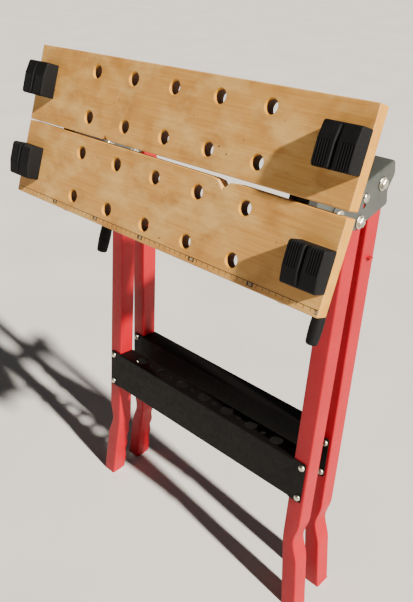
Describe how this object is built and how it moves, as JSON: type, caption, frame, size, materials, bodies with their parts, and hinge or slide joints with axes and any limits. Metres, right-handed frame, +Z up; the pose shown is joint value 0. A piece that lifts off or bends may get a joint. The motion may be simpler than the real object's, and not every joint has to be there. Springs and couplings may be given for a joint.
{
  "type": "folding workbench",
  "caption": "Folding workbench with perforated wooden vice jaws on crank screws, swivel dogs, channel-steel leg frames that swing open and a top that tilts flat.",
  "frame": {"origin": "middle of the bounding box at floor level", "axes": "+X to the right of someone standing at the front, +Y to the rear, +Z up"},
  "size_m": [0.606, 0.2598, 0.8605],
  "materials": {
    "red_paint": "gloss powder coat",
    "black_paint": "semi-gloss powder coat",
    "grey_paint": "satin powder coat",
    "zinc_plated_steel": "bright zinc",
    "wood": "clear-coated board, worn",
    "black_plastic": "moulded"
  },
  "bodies": {
    "front_frame": {"arm_left": "grey_paint", "arm_right": "grey_paint", "arm_rivet_left": "zinc_plated_steel", "arm_rivet_right": "zinc_plated_steel", "front_channel": "black_paint", "front_channel_bolt_lower_left": "zinc_plated_steel", "front_channel_bolt_lower_right": "zinc_plated_steel", "front_channel_bolt_upper_left": "zinc_plated_steel", "front_channel_bolt_upper_right": "zinc_plated_steel", "front_leg_bolt_left": "zinc_plated_steel", "front_leg_bolt_right": "zinc_plated_steel", "front_leg_left": "red_paint", "front_leg_right": "red_paint", "rear_pivot_bolt_left": "zinc_plated_steel", "rear_pivot_bolt_right": "zinc_plated_steel", "tilt_pin_left": "zinc_plated_steel", "tilt_pin_right": "zinc_plated_steel"},
    "rear_frame": {"rear_channel": "black_paint", "rear_channel_bolt_lower_left": "zinc_plated_steel", "rear_channel_bolt_lower_right": "zinc_plated_steel", "rear_channel_bolt_upper_left": "zinc_plated_steel", "rear_channel_bolt_upper_right": "zinc_plated_steel", "rear_leg_left": "red_paint", "rear_leg_right": "red_paint"},
    "top": {"carrier_left": "grey_paint", "carrier_right": "grey_paint", "front_jaw": "wood", "front_jaw_screw_inner_left": "zinc_plated_steel", "front_jaw_screw_inner_right": "zinc_plated_steel", "front_jaw_screw_outer_left": "zinc_plated_steel", "front_jaw_screw_outer_right": "zinc_plated_steel"},
    "rear_jaw": {"nut_stud_left": "zinc_plated_steel", "nut_stud_right": "zinc_plated_steel", "rear_jaw": "wood", "slide_nut_left": "zinc_plated_steel", "slide_nut_right": "zinc_plated_steel"},
    "vice_screw_left": {"clamp_screw_left": "zinc_plated_steel", "crank_left": "zinc_plated_steel", "crank_pin_left": "zinc_plated_steel", "screw_collar_left": "zinc_plated_steel"},
    "vice_screw_right": {"clamp_screw_right": "zinc_plated_steel", "crank_pin_right": "zinc_plated_steel", "crank_right": "zinc_plated_steel", "screw_collar_right": "zinc_plated_steel"},
    "grip_left": {"crank_grip_left": "black_plastic"},
    "grip_right": {"crank_grip_right": "black_plastic"},
    "dog_front_left": {"dog_front_left": "black_plastic"},
    "dog_front_right": {"dog_front_right": "black_plastic"},
    "dog_rear_left": {"dog_rear_left": "black_plastic"},
    "dog_rear_right": {"dog_rear_right": "black_plastic"}
  },
  "joints": [
    {"name": "rear_leg_swing", "type": "hinge", "parent": "front_frame", "child": "rear_frame", "pos_m": [0.0005, 0.10019, 0.72263], "axis": [1, 0, 0], "range_deg": [0, 34]},
    {"name": "top_tilt", "type": "hinge", "parent": "front_frame", "child": "top", "pos_m": [0.0005, 0.00459, 0.70537], "axis": [-1, 0, 0], "range_deg": [0, 57]},
    {"name": "right_screw_turn", "type": "hinge", "parent": "top", "child": "vice_screw_right", "pos_m": [0.22399, -0.0401, 0.72178], "axis": [0, -0.3584, -0.9336], "range_deg": [0, 4200]},
    {"name": "left_screw_turn", "type": "hinge", "parent": "top", "child": "vice_screw_left", "pos_m": [-0.22301, -0.0401, 0.72178], "axis": [0, -0.3584, -0.9336], "range_deg": [0, 4200]},
    {"name": "jaw_slide", "type": "slide", "parent": "top", "child": "rear_jaw", "axis": [0, 0.3584, 0.9336], "range_m": [0, 0.0701]},
    {"name": "right_grip_spin", "type": "hinge", "parent": "vice_screw_right", "child": "grip_right", "pos_m": [0.24329, -0.0267, 0.56892], "axis": [0, 0.3584, 0.9336], "continuous": true},
    {"name": "left_grip_spin", "type": "hinge", "parent": "vice_screw_left", "child": "grip_left", "pos_m": [-0.17099, -0.04579, 0.57625], "axis": [0, 0.3584, 0.9336], "continuous": true},
    {"name": "front_right_dog_turn", "type": "hinge", "parent": "top", "child": "dog_front_right", "pos_m": [0.27799, -0.10451, 0.68791], "axis": [0, -0.9336, 0.3584], "continuous": true},
    {"name": "front_left_dog_turn", "type": "hinge", "parent": "top", "child": "dog_front_left", "pos_m": [-0.27701, -0.10451, 0.68791], "axis": [0, -0.9336, 0.3584], "continuous": true},
    {"name": "rear_right_dog_turn", "type": "hinge", "parent": "rear_jaw", "child": "dog_rear_right", "pos_m": [0.27744, -0.05693, 0.81188], "axis": [0, -0.9336, 0.3584], "continuous": true},
    {"name": "rear_left_dog_turn", "type": "hinge", "parent": "rear_jaw", "child": "dog_rear_left", "pos_m": [-0.27754, -0.05864, 0.80742], "axis": [0, -0.9336, 0.3584], "continuous": true}
  ],
  "couplings": [
    {"joint": "left_screw_turn", "follows": "right_screw_turn", "ratio": 1},
    {"joint": "jaw_slide", "follows": "right_screw_turn", "m_per_rad": 0.00095493}
  ]
}
